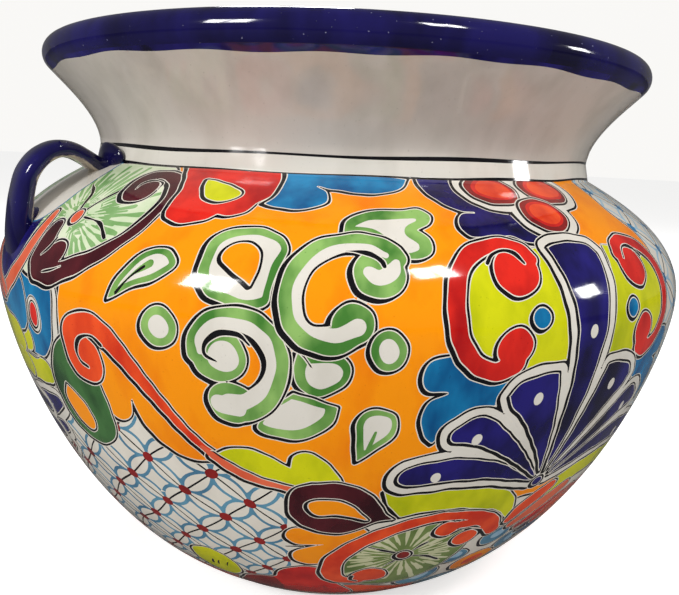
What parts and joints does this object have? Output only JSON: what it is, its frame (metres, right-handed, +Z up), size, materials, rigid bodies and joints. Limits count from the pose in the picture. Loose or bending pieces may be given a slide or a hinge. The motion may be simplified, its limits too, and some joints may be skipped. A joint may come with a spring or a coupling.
{
  "type": "talavera vase",
  "caption": "Wide-bellied glazed earthenware vase with a flared neck, a rolled lip and a small strap handle on each side.",
  "frame": {"origin": "centre of the foot ring's resting plane, on the pot's axis", "axes": "+Z up along the pot's axis, with the two handles on +X and -X"},
  "size_m": [0.4002, 0.4, 0.3],
  "materials": {
    "bare_clay": "matt unglazed earthenware",
    "white_glaze": "glossy tin-white glaze",
    "painted_glaze": "glossy hand-painted glaze in orange, red, lime, green, blue and white with black outlines",
    "cobalt_glaze": "glossy deep cobalt-blue glaze"
  },
  "bodies": {
    "root": {"foot_ring": "bare_clay", "base_slab": "white_glaze", "lower_bowl": "painted_glaze", "shoulder_bowl": "painted_glaze", "collar_band": "white_glaze", "flared_neck": "white_glaze", "rolled_lip": "cobalt_glaze", "left_strap": "cobalt_glaze", "left_collar_wad": "cobalt_glaze", "left_shoulder_wad": "cobalt_glaze", "right_strap": "cobalt_glaze", "right_collar_wad": "cobalt_glaze", "right_shoulder_wad": "cobalt_glaze"}
  },
  "joints": []
}
